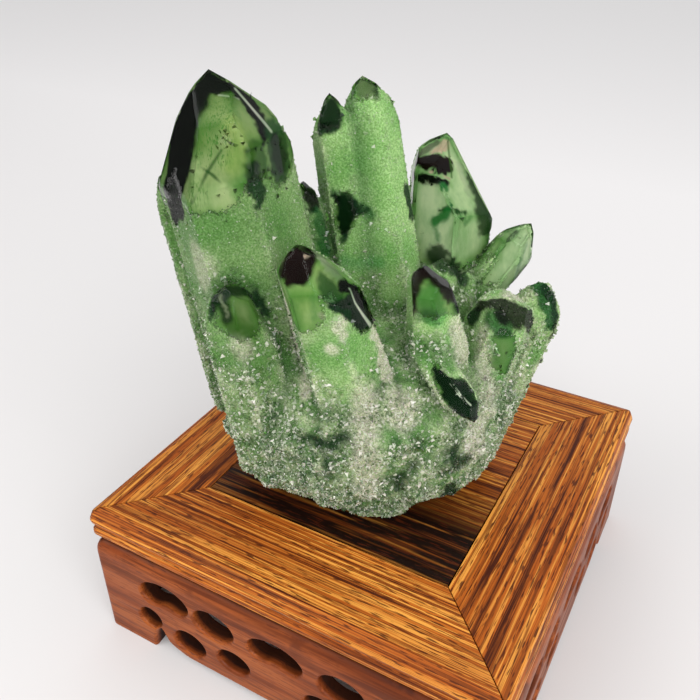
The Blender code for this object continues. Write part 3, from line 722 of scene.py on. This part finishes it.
def cut_finer(piece, longest, rounds, where=None):
    """Subdivide the edges that are longer than a length, a few times over, all of them or where told."""
    with editing(piece):
        for _ in range(rounds):
            bpy.ops.mesh.select_mode(type="EDGE")
            bpy.ops.mesh.select_all(action="DESELECT")
            bm = bmesh.from_edit_mesh(piece.data)
            long_edges = [edge for edge in bm.edges if edge.calc_length() > longest]
            if where and long_edges:
                middles = np.array([(edge.verts[0].co + edge.verts[1].co) / 2 for edge in long_edges])
                long_edges = [edge for edge, wanted in zip(long_edges, where(at_home(middles))) if wanted]
            if not long_edges:
                break
            for edge in long_edges:
                edge.select_set(True)
            bmesh.update_edit_mesh(piece.data)
            bpy.ops.mesh.subdivide(number_cuts=1)
            bpy.ops.mesh.select_all(action="SELECT")
            bpy.ops.mesh.quads_convert_to_tris()


def on_glass(points):
    """Where the faces are glassy, with a margin."""
    return clearness(points, 1.0, 0.5) > 0


def on_border(points):
    """Where glass meets frost, and where a mark lies on frost."""
    frosted = clearness(points, -1.6, 0.5) < 1
    wanted = frosted & (clearness(points, 1.6, 0.5) > 0)
    for _, strength, soft, chain in MARKS:
        if strength > 0.7 and soft < 1.1:
            wanted |= frosted & (cover(points, chain, soft + 0.4) > 0)
    return wanted


def on_line(points):
    """Along the fine lines."""
    near = np.zeros(len(points), bool)
    for _, _, soft, chain in LINES:
        near |= cover(points, chain, soft + 1.2) > 0
    return near


def store(piece, name, values):
    """Keep a number or a colour a vertex, for the materials to read."""
    values = np.asarray(values, np.float32)
    if values.ndim == 1:
        piece.data.attributes.new(name, "FLOAT", "POINT").data.foreach_set("value", values)
    else:
        opaque = np.concatenate([values, np.ones((len(values), 1), np.float32)], 1)
        piece.data.attributes.new(name, "FLOAT_COLOR", "POINT").data.foreach_set("color", opaque.ravel())


def ridges_and_valleys(piece):
    """Points along the sharp ridges and along the valleys of a mesh, for nearest-point searches."""
    bm = bmesh.new()
    bm.from_mesh(piece.data)
    found = {True: [], False: []}
    for edge in bm.edges:
        if edge.is_manifold and edge.calc_length() > 0.0012:
            bend = edge.calc_face_angle_signed()
            if abs(bend) > math.radians(18):
                start, end = (vert.co for vert in edge.verts)
                steps = max(1, int((end - start).length / 0.0005))
                found[bend > 0] += [start.lerp(end, step / steps) for step in range(steps + 1)]
    bm.free()
    trees = []
    for points in (found[True], found[False]):
        tree = KDTree(len(points))
        for number, point in enumerate(points):
            tree.insert(point, number)
        tree.balance()
        trees.append(tree)
    return trees


def nearness(piece, tree, reach):
    """1 on the marked lines of a mesh, falling to 0 at a distance."""
    return np.array([max(0.0, 1 - tree.find(vert.co)[2] / reach) for vert in piece.data.vertices])


def paint(points, base, marks):
    """Lay the marks over a base colour."""
    for tint, strength, soft, chain in marks:
        base = laid(base, tint, strength * cover(points, chain, soft))
    return base


def halo(points, base, marks):
    """Deepen the green round the dark marks: painted shade that fades out from them."""
    for tint, strength, soft, chain in marks:
        if max(tint) < 0.05:
            base = laid(base, base * (0.25, 0.55, 0.22), 0.6 * strength * cover(points, chain, soft + 1.3))
    return base


def darkest(points, marks, limit):
    """How far each point lies in the marks that are darker than a limit."""
    found = np.zeros(len(points))
    for tint, strength, soft, chain in marks:
        if max(tint) < limit:
            found = np.maximum(found, strength * cover(points, chain, soft + 0.3))
    return found


FACE_STEP = 0.0022
BORDER_STEP = 0.0008
RIDGE_REACH = 0.0022
VALLEY_REACH = 0.0050
DRUSE_ROOM = 0.00045
# Greens of the frost, the white of the sugar on it, and the painted shade in its gaps and valleys
FROST_DEEP = (0.135, 0.295, 0.080)
FROST_LIGHT = (0.245, 0.400, 0.150)
SUGAR_WHITE = (0.54, 0.62, 0.38)
VALLEY_SHADE_GREEN = (0.035, 0.115, 0.028)
quartz = cast("quartz_cluster", "quartz_crystals")
inner = cast("quartz_cluster", "green_phantoms")
ridge_tree, valley_tree = ridges_and_valleys(quartz)
cut_finer(quartz, FACE_STEP, 6)
cut_finer(quartz, BORDER_STEP, 3, where=on_border)
mm = millimetres(quartz)
across = mm[:, 0]
height = mm[:, 2]
ridge = nearness(quartz, ridge_tree, RIDGE_REACH)
valley_shading = nearness(quartz, valley_tree, VALLEY_REACH)
druse = 1 - clearness(mm, -0.9, 1.8)
upper = ease(height, 30, 70)

# White sugar lies along the ridges and low on the stone, and painted shade darkens the green in the gaps of
# the foot and in the valleys
patches = 0.35 * ripple(mm, 13, 5) + 0.40 * ripple(mm, 5, 15)
white = ease(height, 54, 12) * 0.38 + patches * (1 - 0.7 * upper)
white += 0.8 * ridge * (1 - 0.75 * upper) - 0.25 * ease(across, -24, -36) + 0.8 * ease(height, 7, 3)
gap_shading = np.clip(1.7 * ripple(mm, 5, 14) - 0.55, 0, 1) * ease(height, 44, 19)
tone = laid(FROST_DEEP, FROST_LIGHT, 0.5 + 0.5 * ripple(mm, 20, 6))
# Painted light: the frost is lighter to the right of the big crystal, and lighter still high on the middle
# crystal
tone *= (0.80 + 0.20 * ease(across, -30, -18) + 0.35 * ease(across, -20, -8) * upper)[:, None]
tone = laid(tone, SUGAR_WHITE, 0.8 * np.clip(white, 0, 1))
tone = laid(tone, VALLEY_SHADE_GREEN, np.clip(0.65 * valley_shading + 0.8 * gap_shading, 0, 0.85))
# The light marks are inside the clear points, and only the dark ones and the white crust show on frost
outside = [mark for mark in MARKS if max(mark[0]) < 0.4 or mark[0] is CRUST_WHITE]
tone = paint(mm + 0.35 * ripple(mm, 3, 8)[:, None], tone, outside)
marked = darkest(mm, MARKS, 0.25)
covered = np.clip(druse * 1.5 - 0.5, 0, 1)
for name, values in {
    "tone": tone,
    "clear": clearness(mm),
    "druse": druse,
    "plain": np.clip(1 - marked, 0, 1),
    "fine": covered * (1 - 0.45 * marked),
    "coarse": covered * (1 - 0.5 * marked) * np.clip((62 - height) / 42 + 0.5 * ripple(mm, 12, 9), 0.02, 1),
    "rim": covered * (1 - 0.8 * marked) * np.clip(ridge * 1.6, 0, 1) * (1 - 0.5 * upper) * (height > 6),
}.items():
    store(quartz, name, values)
under_druse = quartz.vertex_groups.new(name="druse")
for index, value in enumerate(covered):
    if value > 0.01:
        under_druse.add([index], float(value), "REPLACE")
worked(quartz, "Round what the druse covers", "SMOOTH", factor=0.5, iterations=6, vertex_group="druse")
worked(quartz, "Make room for the druse", "DISPLACE", strength=-DRUSE_ROOM, mid_level=0.0,
       vertex_group="druse")
bpy.ops.object.shade_smooth_by_angle(angle=math.radians(22))

QUARTZ_IOR = 1.544
skin = Finish("green_quartz")
speckle = skin.ranged(skin.noise(0.0013, 4.0, 0.75), 0.38, 0.62)
crumbs = skin.mix(speckle, (0.40, 0.50, 0.34), (1.18, 1.12, 1.12))
sparkle = skin.ranged(skin.noise(0.00045, 1.0), 0.38, 0.66)
sugar = skin.mix(sparkle, (0.68, 0.77, 0.62), (1.28, 1.18, 1.32))
grown_tone = skin.mix(skin.kept("coarse"), sugar, skin.times(sugar, crumbs, 0.6))
frosted = skin.times(skin.kept("tone", colour=True), grown_tone)
# The border between frost and glass is as ragged as the crust that ends there
ragged = skin.maths("ADD", skin.kept("clear"), skin.ranged(skin.noise(0.0007, 2.0), 0.3, 0.7, -0.3, 0.3))
glassy = skin.ranged(ragged, 0.35, 0.65)
skin.set(Base_Color=skin.mix(skin.ranged(glassy, 0.8, 1.0), frosted, (0.90, 0.96, 0.84)),
         Transmission_Weight=glassy,
         Roughness=skin.ranged(ragged, 0.3, 0.6, 0.5, 0.015),
         IOR=QUARTZ_IOR, Specular_IOR_Level=0.2, Specular_Tint=(0.15, 0.15, 0.15),
         Subsurface_Weight=0.5, Subsurface_Radius=(0.5, 1.0, 0.4), Subsurface_Scale=0.003)
skin.bump(skin.maths("MULTIPLY", skin.noise(0.0005, 1.0), skin.kept("druse")), 0.0004, 0.8)
# A little absorption tints the clear quartz green where it is thick
absorb = skin.nodes.new("ShaderNodeVolumeAbsorption")
absorb.inputs["Color"].default_value = (0.55, 0.88, 0.42, 1)
absorb.inputs["Density"].default_value = 40.0
skin.links.new(absorb.outputs["Volume"], skin.nodes["Material Output"].inputs["Volume"])
finished(quartz, skin.material, "quartz_cluster")


# Phantoms: under the clear quartz lies the older crystal, dusted with green chlorite before the last
# millimetres grew over it.  It gives the glassy faces their olive green and cracks, and carries the dark
# bands, which are painted dark reflections from inside the quartz.

# How deep it lies under clear faces, under dark marks, in the two clearest crystals and under frost
GLASS_DEPTH = 0.0008
DARK_DEPTH = 0.0007
DEEP_DEPTH = 0.0012
FROST_DEPTH = 0.0024
INNER_STEP = 0.0030
LINE_STEP = 0.0003
EDGE_REACH = 0.0024
# Olives of the older crystal, its paler tint in the clearest crystals, partly painted light shining
# through them, its tint next to the frost, and the painted shade along its facet edges
OLIVE_SHADED = (0.31, 0.47, 0.155)
OLIVE_LIT = (0.48, 0.61, 0.29)
CLEAREST_TINT_AND_GLOW = (0.78, 0.90, 0.66)
BORDER_GREEN = (0.30, 0.56, 0.17)
EDGE_SHADE = (0.42, 0.66, 0.40)
cut_finer(inner, INNER_STEP, 6)
cut_finer(inner, BORDER_STEP, 3, where=on_glass)
cut_finer(inner, LINE_STEP, 2, where=on_line)
mm = millimetres(inner)
deep = np.maximum(cover(mm, BACK_POINT, 3.0), cover(mm, RIGHT_POINT, 2.0))
olive = laid(OLIVE_SHADED, OLIVE_LIT, 0.5 + 0.5 * ripple(mm, 12, 11))
olive *= (0.80 + 0.40 * ease(mm[:, 0], -34, -22))[:, None]
# Partly painted light: the two clearest crystals are paled, as if lit through
olive = laid(olive, CLEAREST_TINT_AND_GLOW, 0.7 * deep)
olive = laid(olive, BORDER_GREEN, 0.8 * (1 - clearness(mm, -2.0, 2.2)))
# Painted shade: the olive darkens towards the facet edges
olive = laid(olive, olive * EDGE_SHADE, nearness(inner, ridge_tree, EDGE_REACH))
olive = paint(mm + 0.3 * ripple(mm, 2.5, 12)[:, None], halo(mm, olive, MARKS), MARKS)
store(inner, "tone", paint(mm, olive, LINES))
store(inner, "flecks", np.maximum(cover(mm, [(-36.3, -14.5, 104.2, 3), (-38.5, -17.5, 97.3, 4)], 2.5),
                                  0.8 * cover(mm, [(-43.2, -20.6, 88.5, 3)], 2.0)))
depths = GLASS_DEPTH + (DEEP_DEPTH - GLASS_DEPTH) * deep
depths = depths + (DARK_DEPTH - depths) * darkest(mm, MARKS, 0.03)
depths = depths + (FROST_DEPTH - depths) * (1 - clearness(mm, 2.5, 1.2))
bm = bmesh.new()
bm.from_mesh(inner.data)
bm.normal_update()
sunk = [vert.co - vert.normal * float(depth) * min(vert.calc_shell_factor(), 2.2)
        for vert, depth in zip(bm.verts, depths)]
for vert, place in zip(bm.verts, sunk):
    vert.co = place
bm.to_mesh(inner.data)
bm.free()
only(inner)
bpy.ops.object.shade_smooth_by_angle(angle=math.radians(16))
core = Finish("green_phantom")
veil = core.mix(core.ranged(core.noise((0.005, 0.005, 0.011), 4.0, 0.6), 0.35, 0.65),
                (0.62, 0.76, 0.58), (1.12, 1.05, 1.08))
body = core.times(core.kept("tone", colour=True), veil)
specks = core.ranged(core.noise((0.0004, 0.0004, 0.0026), 2.0, 0.6), 0.53, 0.62, 0.0, 0.85)
specked = core.maths("MULTIPLY", specks, core.kept("flecks"))
core.set(Base_Color=core.mix(specked, body, (0.09, 0.26, 0.05)), Roughness=0.7, Specular_IOR_Level=0.0)
finished(inner, core.material)


# Druse: the crust of small crystals over everything but the clear faces.  Fine sugar above, whiter
# along the ridges, coarse and sparkling towards the foot.  Two sorts of low point, sown four ways.

grit = Finish("quartz_druse")
shade = grit.kept("shade")
ground = grit.kept("tone", colour=True)
# Random grains are whitened, partly as white crystals and partly as painted glints; few glint on the dark
# marks
luck = grit.maths("ADD", shade, grit.ranged(grit.kept("plain"), 0, 1, 0.0, 0.36))
crusted = grit.maths("MULTIPLY", luck, grit.ranged(grit.kept("coarse"), 0.0, 0.5, 0.86, 1.06))
glints = grit.maths("ADD", grit.ranged(crusted, 0.88, 1.36, 0.0, 0.60),
                    grit.ranged(shade, 0.91, 0.97, 0.0, 0.3))
lit = grit.mix(glints, ground, (0.88, 0.91, 0.74))
# Painted shade: some coarse grains are darkened as if shadowed by their neighbours
shadowed_grains = grit.maths("MULTIPLY", grit.ranged(shade, 0.1, 0.4, 0.9, 0.0), grit.kept("coarse"))
lit = grit.mix(shadowed_grains, lit, grit.times(ground, (0.26, 0.36, 0.22)))
grit.set(Base_Color=lit, Roughness=0.2, IOR=QUARTZ_IOR, Transmission_Weight=0.25,
         Subsurface_Weight=0.3, Subsurface_Radius=(0.5, 1.0, 0.4), Subsurface_Scale=0.001)

bpy.ops.object.select_all(action="DESELECT")
grains = {}
for name, sides, tall in (("fine", 3, 0.7), ("coarse", 4, 0.8)):
    bpy.ops.mesh.primitive_cone_add(vertices=sides, radius1=0.5, radius2=0.0, depth=tall,
                                    location=(0, 0, 0.12))
    grains[name] = bpy.context.object
    bpy.ops.object.transform_apply(location=True, rotation=True, scale=True)


def sowing(name, grain, cover_name, per_square_mm, widths, tilt, seed):
    """Geometry nodes that scatter grains where a kept value says so, and make one mesh of them."""
    group = bpy.data.node_groups.new(name, "GeometryNodeTree")
    group.interface.new_socket("Surface", in_out="INPUT", socket_type="NodeSocketGeometry")
    group.interface.new_socket("Crust", in_out="OUTPUT", socket_type="NodeSocketGeometry")

    def step(kind, inputs=(), **settings):
        """A node with its settings, and an output or a value for each of its inputs that is named."""
        made = group.nodes.new(kind)
        for setting, value in settings.items():
            setattr(made, setting, value)
        for socket, value in dict(inputs).items():
            if isinstance(value, bpy.types.NodeSocket):
                group.links.new(value, made.inputs[socket])
            else:
                made.inputs[socket].default_value = value
        return made

    surface = step("NodeGroupInput")
    read = step("GeometryNodeInputNamedAttribute", {"Name": cover_name}, data_type="FLOAT")
    dense = step("ShaderNodeMath", {0: read.outputs["Attribute"], 1: per_square_mm / MM ** 2},
                 operation="MULTIPLY")
    scatter = step("GeometryNodeDistributePointsOnFaces",
                   {"Mesh": surface.outputs[0], "Density": dense.outputs[0], "Seed": seed})
    lean = step("FunctionNodeRandomValue",
                {"Min": (-tilt, -tilt, -math.pi), "Max": (tilt, tilt, math.pi), "Seed": seed + 1},
                data_type="FLOAT_VECTOR")
    turn = step("FunctionNodeRotateRotation",
                {"Rotation": scatter.outputs["Rotation"], "Rotate By": lean.outputs[0]},
                rotation_space="LOCAL")
    size = step("FunctionNodeRandomValue",
                {2: widths[0] * MM, 3: widths[1] * MM, "Seed": seed + 2}, data_type="FLOAT")
    shape = step("GeometryNodeObjectInfo", {"Object": grain, "As Instance": True})
    plant = step("GeometryNodeInstanceOnPoints",
                 {"Points": scatter.outputs["Points"], "Instance": shape.outputs["Geometry"],
                  "Rotation": turn.outputs["Rotation"], "Scale": size.outputs[1]})
    luck = step("FunctionNodeRandomValue", {"Seed": seed + 3}, data_type="FLOAT")
    note = step("GeometryNodeStoreNamedAttribute",
                {"Geometry": plant.outputs["Instances"], "Name": "shade", "Value": luck.outputs[1]},
                data_type="FLOAT", domain="INSTANCE")
    solid = step("GeometryNodeRealizeInstances", {"Geometry": note.outputs["Geometry"]})
    step("NodeGroupOutput", {0: solid.outputs["Geometry"]})
    return group


# Each crust: grain, the kept value that says where, grains a square mm, widths in mm, tilt, and seed
SOWINGS = {
    "druse_fine_one": ("fine", "fine", 1.15, (0.22, 0.52), 0.6, 20),
    "druse_fine_two": ("fine", "fine", 1.15, (0.22, 0.52), 0.6, 30),
    "druse_ridges": ("fine", "rim", 2.6, (0.4, 0.85), 0.7, 40),
    "druse_coarse": ("coarse", "coarse", 1.6, (0.6, 1.5), 0.8, 50),
}
for name, (grain_name, *how) in SOWINGS.items():
    crust = own_copy(quartz, name)
    group = sowing(name, grains[grain_name], *how)
    worked(crust, "Grow", "NODES", node_group=group)
    bpy.data.node_groups.remove(group)
    crust.data.shade_flat()
    finished(crust, grit.material)
for grain in grains.values():
    bpy.data.objects.remove(grain)


# Studio: pale paper under a bright ceiling, with a soft lamp in front on the left and a wider one in
# front on the right.  A dark flag on the left keeps the black facets there from mirroring the room.

bpy.ops.object.select_all(action="DESELECT")
bpy.ops.mesh.primitive_plane_add(size=2, location=(0, 0.05, -0.0002))
paper = bpy.context.object
paper.name = "paper"
paper.scale = (1.13, 1.35, 1)
bpy.ops.object.transform_apply(location=True, rotation=True, scale=True)
white_paper = Finish("white_paper")
away = white_paper.ranged(white_paper.axis("Y"), 0.0, 1.1)
# Painted light: the paper is darker in front of the stand, where the lamps fall strongest, and a little
# darker far back
greys = ((0, (0.70, 0.685, 0.68)), (0.35, (0.87, 0.855, 0.85)), (1, (0.85, 0.84, 0.835)))
white_paper.set(Base_Color=white_paper.ramp(away, greys), Roughness=0.8, Specular_IOR_Level=0.2)
paper.data.materials.append(white_paper.material)

world = bpy.data.worlds.new("studio")
world.use_nodes = True
air = world.node_tree
direction = air.nodes.new("ShaderNodeTexCoord")
split = air.nodes.new("ShaderNodeSeparateXYZ")
sky = air.nodes.new("ShaderNodeValToRGB")
# The room is dimmer near the floor, under a bright ceiling of cloth
lay_stops(sky.color_ramp.elements, ((0, (0.4925, 0.49, 0.50)), (0.20, (0.44325, 0.441, 0.45)),
                                    (0.50, (0.6895, 0.686, 0.70)), (1, (1, 1, 1))))
air.links.new(direction.outputs["Generated"], split.inputs[0])
air.links.new(split.outputs["Z"], sky.inputs["Fac"])
air.links.new(sky.outputs["Color"], air.nodes["Background"].inputs["Color"])
flag = air.nodes.new("ShaderNodeMapRange")
for name, number in (("From Min", -0.85), ("From Max", -0.45), ("To Min", 0.12), ("To Max", 1.1)):
    flag.inputs[name].default_value = number
air.links.new(split.outputs["X"], flag.inputs["Value"])
air.links.new(flag.outputs["Result"], air.nodes["Background"].inputs["Strength"])
bpy.context.scene.world = world


def softbox(name, place, aim, size, power):
    """A square soft lamp that looks at a point."""
    lamp = bpy.data.lights.new(name, "AREA")
    lamp.size = size
    lamp.energy = power
    made = bpy.data.objects.new(name, lamp)
    made.location = place
    made.rotation_euler = (Vector(aim) - Vector(place)).to_track_quat("-Z", "Y").to_euler()
    bpy.context.scene.collection.objects.link(made)


softbox("key", (-0.45, -0.45, 0.55), (0, 0, 0.08), 0.5, 2.2)
softbox("fill", (0.45, -0.45, 0.45), (0, 0, 0.06), 0.6, 4.5)

# Camera: where the photograph was taken from, looking down at the stand's front right corner.

lens = bpy.data.cameras.new("camera")
lens.sensor_width = 36
lens.lens = 39.8
lens.clip_start = 0.01
camera = bpy.data.objects.new("camera", lens)
camera.location = (0.07731, -0.15838, 0.19424)
camera.rotation_euler = (math.radians(90 - 32.498), 0, math.radians(29.228))
bpy.context.scene.collection.objects.link(camera)
bpy.context.scene.camera = camera
bpy.context.scene.view_settings.view_transform = "Standard"
